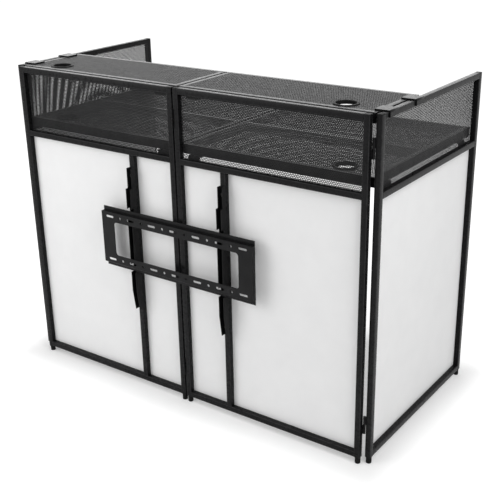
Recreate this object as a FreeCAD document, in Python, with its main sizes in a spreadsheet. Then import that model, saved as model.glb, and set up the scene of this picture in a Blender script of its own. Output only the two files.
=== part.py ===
import FreeCAD, Part
import math
import os
import re

import Sketcher

# A folding DJ booth: two front panels and two side wings of square tube, joined by
# barrel hinges, with two hook-on shelf halves, two table halves and a screen bracket.
# Millimetres, X to the right, Y to the back, Z up, origin at the middle of the base.

doc = FreeCAD.newDocument("dj_booth")

sizes = {
    "panel_width": 680,
    "panel_height": 1078,
    "tube_size": 19,
    "tube_wall": 1.2,
    "tube_bevel": 1.5,
    "cap_thickness": 2,
    "cap_plug": 10,
    "plug_clearance": 0.2,
    "centre_gap": 6,
    "corner_gap": 9,
    "wing_setback": 1,
    "mesh_height": 204,
    "upright_offset": 186,
    "foot_height": 22,
    "foot_diameter": 18,
    "stem_length": 14,
    "sheet_thickness": 1,
    "sheet_inset": 0.5,
    "scrim_thickness": 0.8,
    "scrim_lap": 8,
    "deck_beam": 30,
    "deck_side_gap": 7,
    "shelf_front_gap": 9,
    "shelf_depth": 264,
    "table_clearance": 11,
    "table_front_gap": 14,
    "table_back_gap": 7,
    "hook_width": 48,
    "hook_thickness": 4,
    "hook_bend": 5,
    "hook_drop": 16,
    "hook_inset": 28,
    "hook_clearance": 0.5,
    "ledge_width": 45,
    "ledge_thickness": 3.5,
    "ledge_reach": 30,
    "ledge_inset": 37,
    "ledge_margin": 4,
    "wing_ledge_inset": 60,
    "grommet_inset": 124,
    "grommet_setback": 60,
    "grommet_flange": 78,
    "grommet_flange_height": 3,
    "grommet_sleeve": 66,
    "grommet_bore": 60,
    "grommet_length": 4,
    "grommet_clearance": 0.3,
    "hinge_length": 60,
    "hinge_split": 0.6,
    "hinge_low": 83,
    "hinge_top_drop": 66,
    "barrel_clearance": 0.3,
    "leaf_width": 10,
    "leaf_thickness": 2,
    "centre_axis_stand": 2.5,
    "pin_diameter": 3.4,
    "pin_clearance": 0.05,
    "pin_end_gap": 1,
    "socket_end": 5,
    "arm_drop": 41,
    "arm_length": 507,
    "arm_width": 20,
    "arm_wall": 1.8,
    "arm_depth": 25,
    "arm_end_depth": 15,
    "arm_taper": 74,
    "arm_top_length": 68,
    "arm_slot_length": 38,
    "arm_slot_width": 8,
    "arm_slot_end": 33.5,
    "plate_width": 625,
    "plate_face": 185,
    "plate_thickness": 2,
    "plate_bend": 2.5,
    "plate_seat": 0.3,
    "plate_headroom": 12,
    "lip_depth": 15,
    "lip_height": 15,
    "window_side": 54,
    "window_margin": 32.5,
    "window_round": 11,
    "row_inset": 15.25,
    "slot_end_inset": 36.5,
    "slot_length": 32,
    "slot_width": 8,
    "hole_diameter": 9,
}

# Places that follow from the driving sizes, each written as a formula of them.
places = {
    "half_gap": "(centre_gap / 2)",
    "front_end": "(half_gap + panel_width)",
    "wing_inner": "(front_end + corner_gap)",
    "plate_front": "(arm_depth + plate_seat + plate_thickness)",
    "wing_start": "(tube_size + wing_setback)",
    "front_plane": "(-(wing_start + panel_width - plate_front) / 2)",
    "back_plane": "(front_plane + tube_size)",
    "wing_front": "(front_plane + wing_start)",
    "frame_top": "(foot_height + panel_height)",
    "window_span": "(panel_width - 2 * tube_size)",
    "mid_rail_height": "(panel_height - 2 * tube_size - mesh_height)",
    "rail_top": "(mid_rail_height + tube_size)",
    "deck_length": "(panel_width + corner_gap - deck_side_gap)",
    "deck_end": "(half_gap + deck_length)",
    "shelf_front": "(back_plane + shelf_front_gap)",
    "shelf_bottom": "(frame_top - deck_beam)",
    "table_front": "(back_plane + table_front_gap)",
    "table_bottom": "(foot_height + rail_top + table_clearance)",
    "table_top": "(table_bottom + deck_beam)",
    "table_depth": "(panel_width + wing_setback - table_front_gap - table_back_gap)",
    "table_bay": "((table_depth - 3 * tube_size) / 2)",
    "sheet_drop": "(sheet_inset + sheet_thickness)",
    "ledge_drop": "(tube_size + table_clearance - scrim_lap - ledge_margin / 2)",
    "corner_axis_x": "(front_end + corner_gap / 2)",
    "corner_axis_y": "(back_plane + wing_setback / 2)",
    "corner_radius": "(corner_gap / 2 - barrel_clearance)",
    "centre_axis_y": "(front_plane - centre_axis_stand)",
    "hinge_high": "(panel_height - hinge_top_drop - hinge_length)",
    "knuckle_length": "((hinge_length - hinge_split) / 2)",
    "socket_depth": "(knuckle_length - socket_end)",
    "arm_bottom": "(mid_rail_height - arm_drop - arm_length)",
    "arm_step": "(arm_length - arm_top_length)",
    "plate_reach": "(plate_face + 2 * lip_height + plate_headroom)",
    "notch_margin": "((arm_step - arm_taper - plate_reach) / 2)",
    "plate_rise": "(arm_taper + notch_margin + lip_height)",
    "plate_middle": "(foot_height + arm_bottom + plate_rise + plate_face / 2)",
    "lip_back": "(plate_front - lip_depth)",
    "notch_depth": "(lip_back - plate_seat)",
    "low_notch": "(plate_rise - lip_height)",
    "low_notch_end": "(plate_rise + plate_thickness + plate_headroom)",
    "high_notch": "(plate_rise + plate_face - plate_thickness - plate_seat)",
    "high_notch_end": "(plate_rise + plate_face + lip_height + plate_headroom)",
    "window_reach": "(plate_width / 2 - window_side)",
    "window_rise": "(plate_face / 2 - window_margin)",
    "slot_row": "(plate_face / 2 - row_inset)",
    "slot_pitch": "((plate_width - 2 * slot_end_inset) / 6)",
}

sides = {"left": -1, "right": 1}
axis_turns = {"x": 120, "y": 240, "z": 0}
nodes = []


def make_sheet():
    sheet = doc.addObject("Spreadsheet::Sheet", "size")
    for row, (name, value) in enumerate(sizes.items(), start=1):
        sheet.set(f"A{row}", name)
        sheet.set(f"B{row}", str(value))
        sheet.setAlias(f"B{row}", name)
    doc.recompute()


def formula(text):
    # Every word becomes a cell of the sheet, and a named place becomes its own formula.
    def cell(match):
        word = match.group(0)
        if word in places:
            return formula(places[word])
        return "size." + word

    return re.sub(r"[a-z_]+", cell, str(text))


def bind(thing, **formulas):
    for name, text in formulas.items():
        thing.setExpression(name, formula(text))


def put(thing, x, y, z):
    for axis, text in (("x", x), ("y", y), ("z", z)):
        thing.setExpression("Placement.Base." + axis, formula(text))


def on_side(side, start, width):
    # The lowest x of a piece that runs from start for a width on the right, mirrored for the left.
    if sides[side] > 0:
        return start
    return f"-({start}) - ({width})"


def new_body(name):
    return doc.addObject("PartDesign::Body", name)


def new_sketch(body, role, across=None, up=None, out=None):
    # A sketch on one of the body's own planes, moved in that plane or out of it.
    sketch = body.newObject("Sketcher::SketchObject", body.Name + "_sketch")
    plane = [item for item in body.Origin.OriginFeatures if item.Role == role][0]
    sketch.AttachmentSupport = (plane, "")
    sketch.MapMode = "FlatFace"
    for axis, text in (("x", across), ("y", up), ("z", out)):
        if text:
            sketch.setExpression("AttachmentOffset.Base." + axis, formula(text))
    return sketch


def pin_point(sketch, edge, end, across, up):
    # Holds a point of the sketch at its two distances from the sketch's origin.
    point = sketch.getPoint(edge, end)
    for kind, now, text in (("DistanceX", point.x, across), ("DistanceY", point.y, up)):
        index = sketch.addConstraint(Sketcher.Constraint(kind, -1, 1, edge, end, now))
        sketch.setExpression(f"Constraints[{index}]", formula(text))


def outline(sketch, points):
    # A closed outline of straight edges through points given as pairs of formulas.
    count = len(points)
    corners = []
    for index in range(count):
        angle = 2 * math.pi * index / count
        corners.append(FreeCAD.Vector(10 * math.cos(angle), 10 * math.sin(angle), 0))
    first = sketch.GeometryCount
    for index in range(count):
        sketch.addGeometry(Part.LineSegment(corners[index], corners[(index + 1) % count]))
    for index in range(count):
        after = first + (index + 1) % count
        sketch.addConstraint(Sketcher.Constraint("Coincident", first + index, 2, after, 1))
    for index, (across, up) in enumerate(points):
        pin_point(sketch, first + index, 1, across, up)


def rectangle(sketch, left, low, right, high):
    outline(sketch, [(left, low), (right, low), (right, high), (left, high)])


def circle(sketch, diameter):
    # A circle about the sketch's origin.
    index = sketch.addGeometry(Part.Circle(FreeCAD.Vector(0, 0, 0), FreeCAD.Vector(0, 0, 1), 5))
    pin_point(sketch, index, 3, "0", "0")
    width = sketch.addConstraint(Sketcher.Constraint("Diameter", index, 10.0))
    sketch.setExpression(f"Constraints[{width}]", formula(diameter))


def long_slot(sketch, length, width, upright=False):
    # A slot with half-round ends about the sketch's origin, along the sketch's first axis
    # or, upright, its second.
    reach = f"(({length}) - ({width})) / 2"
    turn = math.pi / 2 if upright else 0
    ends = []
    for way in (-1, 1):
        middle = FreeCAD.Vector(10 * way * math.cos(turn), 10 * way * math.sin(turn), 0)
        start = turn - way * math.pi / 2
        ring = Part.Circle(middle, FreeCAD.Vector(0, 0, 1), 4)
        index = sketch.addGeometry(Part.ArcOfCircle(ring, start, start + math.pi))
        along = f"{way} * {reach}"
        if upright:
            pin_point(sketch, index, 3, "0", along)
        else:
            pin_point(sketch, index, 3, along, "0")
        ends.append(index)
    for first, second in (ends, ends[::-1]):
        start = sketch.getPoint(first, 2)
        stop = sketch.getPoint(second, 1)
        line = sketch.addGeometry(Part.LineSegment(start, stop))
        sketch.addConstraint(Sketcher.Constraint("Tangent", first, 2, line, 1))
        sketch.addConstraint(Sketcher.Constraint("Tangent", line, 2, second, 1))
    for end in ends:
        radius = sketch.addConstraint(Sketcher.Constraint("Radius", end, 4.0))
        sketch.setExpression(f"Constraints[{radius}]", formula(f"({width}) / 2"))


def pad(body, sketch, length, middle=False):
    feature = body.newObject("PartDesign::Pad", body.Name + "_pad")
    feature.Profile = sketch
    feature.Midplane = middle
    bind(feature, Length=length)
    return feature


def cut_through(body, sketch):
    # A cut both ways through the whole body, which has to take material away.
    doc.recompute()
    before = body.Shape.Volume
    feature = body.newObject("PartDesign::Pocket", body.Name + "_cut")
    feature.Profile = sketch
    feature.Type = "ThroughAll"
    feature.Midplane = True
    doc.recompute()
    if body.Shape.Volume >= before:
        raise RuntimeError(body.Name + ": a cut takes nothing away")
    return feature


def repeat(body, feature, sketch, axis, length, count):
    pattern = body.newObject("PartDesign::LinearPattern", body.Name + "_row")
    pattern.Originals = [feature]
    pattern.Direction = (sketch, [axis])
    bind(pattern, Length=length)
    pattern.Occurrences = count
    body.Tip = pattern
    return pattern


def edges_where(shape, test):
    return [f"Edge{i}" for i, edge in enumerate(shape.Edges, start=1) if test(edge)]


def round_edges(body, test, radius):
    doc.recompute()
    last = body.Tip
    names = edges_where(last.Shape, test)
    feature = body.newObject("PartDesign::Fillet", body.Name + "_round")
    feature.Base = (last, names)
    bind(feature, Radius=radius)
    doc.recompute()
    return feature


def bevel_edges(body, test, width):
    doc.recompute()
    last = body.Tip
    names = edges_where(last.Shape, test)
    feature = body.newObject("PartDesign::Chamfer", body.Name + "_bevel")
    feature.Base = (last, names)
    bind(feature, Size=width)
    doc.recompute()
    return feature


def runs_along(edge, axis):
    # Is this a straight edge along one of the body's own axes?
    if not isinstance(edge.Curve, Part.Line):
        return False
    return abs(edge.Curve.Direction.dot(axis)) > 0.999


def node(name, *pieces):
    # One named sub-part: a single piece, or a group of like pieces on the same body.
    if len(pieces) == 1:
        whole = pieces[0]
    else:
        whole = doc.addObject("Part::Compound", name + "_group")
        whole.Links = list(pieces)
    whole.Label = name
    nodes.append(whole)


def tube(name, axis, width, height, length, x, y, z):
    # Square tube from its lowest corner, along one axis; width and height are its other two
    # sides in the order of the axes after that one.
    body = new_body(name)
    sketch = new_sketch(body, "XY_Plane")
    rectangle(sketch, "0", "0", width, height)
    wall = "tube_wall"
    rectangle(sketch, wall, wall, f"({width}) - {wall}", f"({height}) - {wall}")
    pad(body, sketch, length)
    doc.recompute()
    box = body.Shape.BoundBox
    up = FreeCAD.Vector(0, 0, 1)

    def at_corner(edge):
        point = edge.Vertexes[0].Point
        beside = min(abs(point.x - box.XMin), abs(point.x - box.XMax))
        behind = min(abs(point.y - box.YMin), abs(point.y - box.YMax))
        return runs_along(edge, up) and beside < 1e-6 and behind < 1e-6

    bevel_edges(body, at_corner, "tube_bevel")
    body.Placement = FreeCAD.Placement(
        FreeCAD.Vector(), FreeCAD.Rotation(FreeCAD.Vector(1, 1, 1), axis_turns[axis])
    )
    put(body, x, y, z)
    return body


def panel_tube(name, axis, length, x, y, z):
    return tube(name, axis, "tube_size", "tube_size", length, x, y, z)


def plate(name, width, depth, height, x, y, z):
    box = doc.addObject("Part::Box", name)
    bind(box, Length=width, Width=depth, Height=height)
    put(box, x, y, z)
    return box


def foot(name, x, y):
    # A round foot with a square stem inside the post.
    body = new_body(name)
    base = new_sketch(body, "XY_Plane")
    circle(base, "foot_diameter")
    pad(body, base, "foot_height")
    stem = new_sketch(body, "XY_Plane", out="foot_height")
    reach = "tube_size / 2 - tube_wall - plug_clearance"
    rectangle(stem, f"-({reach})", f"-({reach})", reach, reach)
    pad(body, stem, "stem_length")
    put(body, x, y, "0")
    return body


def cap(name, x, y):
    # A post's end cap: a square lid with its plug below.
    body = new_body(name)
    lid = new_sketch(body, "XY_Plane", out="-cap_thickness")
    rectangle(lid, "0", "0", "tube_size", "tube_size")
    pad(body, lid, "cap_thickness")
    near = "tube_wall + plug_clearance"
    far = "tube_size - tube_wall - plug_clearance"
    plug = new_sketch(body, "XY_Plane", out="-cap_thickness - cap_plug")
    rectangle(plug, near, near, far, far)
    pad(body, plug, "cap_plug")
    put(body, x, y, "frame_top")
    return body


def post_set(name, spots):
    # The posts of one panel, each with its foot and its cap.
    posts = []
    feet = []
    caps = []
    for index, (x, y) in enumerate(spots, start=1):
        length = "panel_height - cap_thickness"
        posts.append(panel_tube(f"{name}_post_{index}", "z", length, x, y, "foot_height"))
        middle = "tube_size / 2"
        feet.append(foot(f"{name}_foot_{index}", f"{x} + {middle}", f"{y} + {middle}"))
        caps.append(cap(f"{name}_cap_{index}", x, y))
    node(name + "_posts", *posts)
    node(name + "_feet", *feet)
    node(name + "_post_caps", *caps)


rail_heights = {
    "bottom": "foot_height",
    "middle": "foot_height + mid_rail_height",
    "top": "frame_top - tube_size",
}


def front_panel(side):
    name = side + "_front"
    inner = on_side(side, "half_gap", "tube_size")
    outer = on_side(side, "front_end - tube_size", "tube_size")
    post_set(name, [(inner, "front_plane"), (outer, "front_plane")])
    start = on_side(side, "half_gap + tube_size", "window_span")
    rails = []
    for label, height in rail_heights.items():
        rails.append(panel_tube(f"{name}_{label}_rail", "x", "window_span", start, "front_plane", height))
    node(name + "_rails", *rails)
    upright = on_side(side, "upright_offset - tube_size / 2", "tube_size")
    node(name + "_upright", panel_tube(
        name + "_upright_tube", "z", "mid_rail_height - tube_size",
        upright, "front_plane", "foot_height + tube_size",
    ))
    node(name + "_mesh", plate(
        name + "_mesh_sheet", "window_span", "sheet_thickness", "panel_height - rail_top - tube_size",
        start, "back_plane - sheet_drop", "foot_height + rail_top",
    ))
    scrim_width = "window_span + 2 * scrim_lap"
    node(name + "_scrim", plate(
        name + "_scrim_sheet", scrim_width, "scrim_thickness", "mid_rail_height - tube_size + 2 * scrim_lap",
        on_side(side, "half_gap + tube_size - scrim_lap", scrim_width), "back_plane",
        "foot_height + tube_size - scrim_lap",
    ))
    front_ledges(side, name)


def ledge(name, role, points, x, y, z):
    # An angle bracket from its section, as long as its width.
    body = new_body(name)
    sketch = new_sketch(body, role)
    outline(sketch, points)
    pad(body, sketch, "ledge_width")
    put(body, x, y, z)
    return body


def front_ledges(side, name):
    x = on_side(side, "half_gap + ledge_inset", "ledge_width")
    flat = "ledge_thickness"
    hanging = "deck_beam - ledge_margin"
    node(name + "_shelf_ledge", ledge(name + "_shelf_angle", "YZ_Plane", [
        ("0", f"-{flat}"), ("ledge_reach", f"-{flat}"), ("ledge_reach", "0"),
        (flat, "0"), (flat, hanging), ("0", hanging),
    ], x, "back_plane", "shelf_bottom"))
    node(name + "_table_ledge", ledge(name + "_table_angle", "YZ_Plane", [
        ("0", "-ledge_drop"), (flat, "-ledge_drop"), (flat, f"-{flat}"),
        ("ledge_reach", f"-{flat}"), ("ledge_reach", "0"), ("0", "0"),
    ], x, "back_plane", "table_bottom"))


def wing(side):
    name = side + "_wing"
    way = sides[side]
    x = on_side(side, "wing_inner", "tube_size")
    post_set(name, [(x, "wing_front"), (x, "wing_front + panel_width - tube_size")])
    rails = []
    for label, height in rail_heights.items():
        rails.append(panel_tube(
            f"{name}_{label}_rail", "y", "window_span", x, "wing_front + tube_size", height
        ))
    node(name + "_rails", *rails)
    node(name + "_mesh", plate(
        name + "_mesh_sheet", "sheet_thickness", "window_span", "panel_height - rail_top - tube_size",
        on_side(side, "wing_inner + sheet_inset", "sheet_thickness"),
        "wing_front + tube_size", "foot_height + rail_top",
    ))
    node(name + "_scrim", plate(
        name + "_scrim_sheet", "scrim_thickness", "window_span + 2 * scrim_lap",
        "mid_rail_height - tube_size + 2 * scrim_lap",
        on_side(side, "wing_inner - scrim_thickness", "scrim_thickness"),
        "wing_front + tube_size - scrim_lap", "foot_height + tube_size - scrim_lap",
    ))
    flat = f"{-way} * ledge_thickness"
    reach = f"{-way} * ledge_reach"
    section = [
        ("0", "-ledge_drop"), (flat, "-ledge_drop"), (flat, "-ledge_thickness"),
        (reach, "-ledge_thickness"), (reach, "0"), ("0", "0"),
    ]
    ledges = []
    starts = ("wing_ledge_inset + ledge_width", "panel_width - wing_ledge_inset")
    for index, start in enumerate(starts, start=1):
        ledges.append(ledge(
            f"{name}_table_angle_{index}", "XZ_Plane", section,
            f"{way} * wing_inner", f"wing_front + {start}", "table_bottom",
        ))
    node(name + "_table_ledges", *ledges)


def deck_sheet(name, side, depth, y, top):
    return plate(
        name, "deck_length - 2 * tube_size", depth, "sheet_thickness",
        on_side(side, "half_gap + tube_size", "deck_length - 2 * tube_size"), y,
        f"{top} - sheet_drop",
    )


def drilled(name, sheet, x, y, top):
    # A sheet with the round hole that a grommet's sleeve goes through.
    hole = doc.addObject("Part::Cylinder", name + "_hole")
    bind(hole, Radius="grommet_sleeve / 2 + grommet_clearance", Height="2 * deck_beam")
    put(hole, x, y, f"{top} - deck_beam")
    cut = doc.addObject("Part::Cut", name + "_drilled")
    cut.Base = sheet
    cut.Tool = hole
    return cut


def grommet(name, x, y, top):
    # A cable grommet: a flange that lies on the sheet and a sleeve through it.
    body = new_body(name)
    sketch = new_sketch(body, "XZ_Plane")
    bore = "grommet_bore / 2"
    sleeve = "grommet_sleeve / 2"
    flange = "grommet_flange / 2"
    outline(sketch, [
        (bore, "-grommet_length"), (sleeve, "-grommet_length"), (sleeve, "0"), (flange, "0"),
        (flange, "grommet_flange_height"), (bore, "grommet_flange_height"),
    ])
    turn = body.newObject("PartDesign::Revolution", name + "_turn")
    turn.Profile = sketch
    turn.ReferenceAxis = (sketch, ["V_Axis"])
    turn.Angle = 360
    put(body, x, y, f"{top} - sheet_inset")
    return body


def deck_plugs(name, side, y, depth, bottom):
    # Plastic plugs, flush in the open ends of the front and back beams.
    inset = "tube_wall + plug_clearance"
    plugs = []
    for label, place in (("front", y), ("back", f"{y} + {depth} - tube_size")):
        for end, start in (("inner", "half_gap"), ("outer", "deck_end - cap_plug")):
            plugs.append(plate(
                f"{name}_{label}_{end}_plug", "cap_plug", f"tube_size - 2 * ({inset})", f"deck_beam - 2 * ({inset})",
                on_side(side, start, "cap_plug"), f"{place} + {inset}", f"{bottom} + {inset}",
            ))
    return plugs


def deck_beams(name, side, y, depth, bottom, braces):
    # Front and back beams over the whole length, with the two ends and any braces between.
    x = on_side(side, "half_gap", "deck_length")
    beams = []
    for label, place in (("front", y), ("back", f"{y} + {depth} - tube_size")):
        beams.append(tube(
            f"{name}_{label}_beam", "x", "tube_size", "deck_beam", "deck_length", x, place, bottom
        ))
    for label, start in (("inner", "half_gap"), ("outer", "deck_end - tube_size")):
        beams.append(tube(
            f"{name}_{label}_beam", "y", "deck_beam", "tube_size", f"{depth} - 2 * tube_size",
            on_side(side, start, "tube_size"), f"{y} + tube_size", bottom,
        ))
    for index, place in enumerate(braces, start=1):
        span = "deck_length - 2 * tube_size"
        beams.append(tube(
            f"{name}_brace_{index}", "x", "tube_size", "deck_beam", span,
            on_side(side, "half_gap + tube_size", span), place, bottom,
        ))
    node(name + "_frame", *beams)


def shelf(side):
    name = side + "_shelf"
    deck_beams(name, side, "shelf_front", "shelf_depth", "shelf_bottom", [])
    x = f"{sides[side]} * (deck_end - grommet_inset)"
    y = "shelf_front + grommet_setback"
    sheet = deck_sheet(
        name + "_sheet", side, "shelf_depth - 2 * tube_size", "shelf_front + tube_size", "frame_top"
    )
    node(name + "_mesh", drilled(name, sheet, x, y, "frame_top"))
    plugs = deck_plugs(name, side, "shelf_front", "shelf_depth", "shelf_bottom")
    node(name + "_grommet_and_plugs", grommet(name + "_grommet", x, y, "frame_top"), *plugs)
    hooks = []
    starts = ("hook_inset + hook_width", "shelf_depth - hook_inset")
    for index, start in enumerate(starts, start=1):
        hooks.append(hook(f"{name}_hook_{index}", side, f"shelf_front + {start}"))
    node(name + "_hooks", *hooks)


def hook(name, side, y):
    # A bent strap that lies on the shelf's end beam and over the wing's top rail.
    body = new_body(name)
    way = sides[side]
    sketch = new_sketch(body, "XZ_Plane")
    inside = f"{way} * (deck_side_gap + tube_size + hook_clearance)"
    outside = f"{way} * (deck_side_gap + tube_size + hook_clearance + hook_thickness)"
    start = f"{-way} * tube_size"
    outline(sketch, [
        (start, "0"), (inside, "0"), (inside, "-hook_drop"), (outside, "-hook_drop"),
        (outside, "hook_thickness"), (start, "hook_thickness"),
    ])
    pad(body, sketch, "hook_width")
    doc.recompute()
    box = body.Shape.BoundBox
    far = box.XMax if way > 0 else box.XMin

    def at_bend(edge):
        point = edge.Vertexes[0].Point
        along = runs_along(edge, FreeCAD.Vector(0, 1, 0))
        return along and abs(point.x - far) < 1e-6 and abs(point.z - box.ZMax) < 1e-6

    round_edges(body, at_bend, "hook_bend")
    put(body, f"{way} * deck_end", y, "frame_top")
    return body


def table(side):
    name = side + "_table"
    brace = "table_front + tube_size + table_bay"
    deck_beams(name, side, "table_front", "table_depth", "table_bottom", [brace])
    x = f"{sides[side]} * (deck_end - grommet_inset)"
    y = "table_front + grommet_setback"
    front = deck_sheet(name + "_front_sheet", side, "table_bay", "table_front + tube_size", "table_top")
    rear = deck_sheet(name + "_rear_sheet", side, "table_bay", f"{brace} + tube_size", "table_top")
    node(name + "_mesh", drilled(name, front, x, y, "table_top"), rear)
    plugs = deck_plugs(name, side, "table_front", "table_depth", "table_bottom")
    node(name + "_grommet_and_plugs", grommet(name + "_grommet", x, y, "table_top"), *plugs)


def knuckle(name, radius, leaf_x, leaf_y, x, y, z):
    # Half a barrel hinge: a barrel with its leaf, whose lowest corner is given from the axis.
    barrel = doc.addObject("Part::Cylinder", name + "_barrel")
    bind(barrel, Radius=radius, Height="knuckle_length")
    put(barrel, x, y, z)
    leaf = plate(
        name + "_leaf", "leaf_thickness", "leaf_width", "knuckle_length",
        f"{x} + {leaf_x}", f"{y} + {leaf_y}", z,
    )
    return [barrel, leaf]


def lower_half(name, radius, leaf_x, leaf_y, x, y, z):
    # The half with the pin, which stands in the other half's socket.
    pin = doc.addObject("Part::Cylinder", name + "_pin")
    bind(pin, Radius="pin_diameter / 2", Height="knuckle_length + hinge_split + socket_depth - pin_end_gap")
    put(pin, x, y, z)
    whole = doc.addObject("Part::MultiFuse", name)
    whole.Shapes = knuckle(name, radius, leaf_x, leaf_y, x, y, z) + [pin]
    return whole


def upper_half(name, radius, leaf_x, leaf_y, x, y, z):
    # The half with the socket, closed at its top, so that it lifts off the pin.
    whole = doc.addObject("Part::MultiFuse", name + "_whole")
    whole.Shapes = knuckle(name, radius, leaf_x, leaf_y, x, y, z)
    socket = doc.addObject("Part::Cylinder", name + "_socket")
    bind(socket, Radius="pin_diameter / 2 + pin_clearance", Height="socket_depth")
    put(socket, x, y, z)
    cut = doc.addObject("Part::Cut", name)
    cut.Base = whole
    cut.Tool = socket
    return cut


def hinge_line(lower, upper, radius, leaf_places, x, y):
    # A low and a high hinge on one fold, as one node of lower and one of upper halves.
    lower_halves = []
    upper_halves = []
    for label, height in (("low", "foot_height + hinge_low"), ("high", "foot_height + hinge_high")):
        leaf_x, leaf_y = leaf_places[lower]
        lower_halves.append(lower_half(f"{lower}_{label}", radius, leaf_x, leaf_y, x, y, height))
        leaf_x, leaf_y = leaf_places[upper]
        level = f"{height} + knuckle_length + hinge_split"
        upper_halves.append(upper_half(f"{upper}_{label}", radius, leaf_x, leaf_y, x, y, level))
    node(lower, *lower_halves)
    node(upper, *upper_halves)


def corner_hinge(side):
    name = side + "_corner_hinge"
    way = sides[side]
    lower = name + "_front_halves"
    upper = name + "_wing_halves"
    half = "corner_gap / 2"
    on_front = f"(-{half})" if way > 0 else f"({half} - leaf_thickness)"
    on_wing = f"({half} - leaf_thickness)" if way > 0 else f"(-{half})"
    leaf_places = {lower: (on_front, "(-leaf_width)"), upper: (on_wing, "0")}
    hinge_line(lower, upper, "corner_radius", leaf_places, f"{way} * corner_axis_x", "corner_axis_y")


def centre_hinge():
    leaf_places = {
        "centre_hinge_left_halves": ("(-half_gap)", "0"),
        "centre_hinge_right_halves": ("(half_gap - leaf_thickness)", "0"),
    }
    lower, upper = leaf_places
    hinge_line(lower, upper, "half_gap", leaf_places, "0", "centre_axis_y")


def screen_arm(side):
    # A channel with its open side to the front: stepped at the top, tapered at the foot and
    # notched where the screen plate's two lips hang in it.
    name = side + "_screen_arm"
    body = new_body(name)
    section = new_sketch(body, "YZ_Plane")
    full = "-arm_depth"
    end = "-arm_end_depth"
    deep = "-notch_depth"
    outline(section, [
        ("0", "0"), (end, "0"), (full, "arm_taper"),
        (full, "low_notch"), (deep, "low_notch"), (deep, "low_notch_end"), (full, "low_notch_end"),
        (full, "high_notch"), (deep, "high_notch"), (deep, "high_notch_end"), (full, "high_notch_end"),
        (full, "arm_step"), (end, "arm_step"), (end, "arm_length"), ("0", "arm_length"),
    ])
    pad(body, section, "arm_width")
    doc.recompute()
    before = body.Shape.Volume
    channel = new_sketch(body, "YZ_Plane", out="arm_wall")
    rectangle(channel, "-arm_depth", "0", "-arm_wall", "arm_length")
    hollow = body.newObject("PartDesign::Pocket", name + "_channel")
    hollow.Profile = channel
    hollow.Reversed = True
    bind(hollow, Length="arm_width - 2 * arm_wall")
    doc.recompute()
    if body.Shape.Volume >= before:
        raise RuntimeError(name + ": the channel takes nothing away")
    slots = new_sketch(body, "XZ_Plane", "arm_width / 2", "arm_slot_end")
    long_slot(slots, "arm_slot_length", "arm_slot_width", upright=True)
    first = cut_through(body, slots)
    repeat(body, first, slots, "V_Axis", "arm_length - 2 * arm_slot_end", 2)
    x = on_side(side, "upright_offset - arm_width / 2", "arm_width")
    put(body, x, "front_plane", "foot_height + arm_bottom")
    node(name, body)


def screen_plate():
    # A folded plate: a face with two rows of slots and holes round one wide window, a lip
    # along its top and bottom that goes back and then away from the face, and two end returns.
    body = new_body("screen_plate_body")
    section = new_sketch(body, "YZ_Plane")
    half = "plate_face / 2"
    thick = "plate_thickness"
    lip = "lip_depth"
    upper = [
        ("0", half), (f"{lip} - {thick}", half), (f"{lip} - {thick}", f"{half} + lip_height"),
        (lip, f"{half} + lip_height"), (lip, f"{half} - {thick}"), (thick, f"{half} - {thick}"),
    ]
    lower = [(across, f"-({up})") for across, up in reversed(upper)]
    outline(section, upper + lower)
    pad(body, section, "plate_width", middle=True)
    doc.recompute()
    front = body.Shape.BoundBox.YMin

    def at_bend(edge):
        along = runs_along(edge, FreeCAD.Vector(1, 0, 0))
        return along and abs(edge.Vertexes[0].Point.y - front) < 1e-6

    round_edges(body, at_bend, "plate_bend")
    window = new_sketch(body, "XZ_Plane")
    rectangle(window, "-window_reach", "-window_rise", "window_reach", "window_rise")
    cut_through(body, window)
    side = body.Shape.BoundBox.XMax

    def at_window(edge):
        inside = abs(edge.Vertexes[0].Point.x) < side - 1e-6
        return runs_along(edge, FreeCAD.Vector(0, 1, 0)) and inside

    round_edges(body, at_window, "window_round")
    for row in ("slot_row", "-slot_row"):
        slots = new_sketch(body, "XZ_Plane", "-3 * slot_pitch", row)
        long_slot(slots, "slot_length", "slot_width")
        repeat(body, cut_through(body, slots), slots, "H_Axis", "6 * slot_pitch", 7)
        holes = new_sketch(body, "XZ_Plane", "-2.5 * slot_pitch", row)
        circle(holes, "hole_diameter")
        repeat(body, cut_through(body, holes), holes, "H_Axis", "5 * slot_pitch", 6)
    for start in ("-plate_width / 2", "plate_width / 2 - plate_thickness"):
        fold = new_sketch(body, "YZ_Plane", out=start)
        rectangle(fold, "0", "plate_bend - plate_face / 2", lip, "plate_face / 2 - plate_bend")
        pad(body, fold, thick)
    put(body, "0", "front_plane - plate_front", "plate_middle")
    node("screen_plate", body)


def check_all():
    doc.recompute()
    for thing in doc.Objects:
        if "Invalid" in thing.State or "Error" in thing.State:
            raise RuntimeError(thing.Label + ": " + ", ".join(thing.State))
    for thing in nodes:
        if thing.Shape.isNull() or not thing.Shape.isValid():
            raise RuntimeError(thing.Label + ": no valid shape")


def write_all():
    os.makedirs("parts", exist_ok=True)
    for thing in nodes:
        thing.Shape.exportStep(os.path.join("parts", thing.Label + ".step"))


make_sheet()
for side in sides:
    front_panel(side)
    wing(side)
    shelf(side)
    table(side)
    corner_hinge(side)
    screen_arm(side)
centre_hinge()
screen_plate()
check_all()
write_all()
print(len(nodes), "sub-parts written")
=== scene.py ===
import math
import bpy
import numpy as np
from mathutils import Matrix, Vector


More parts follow.
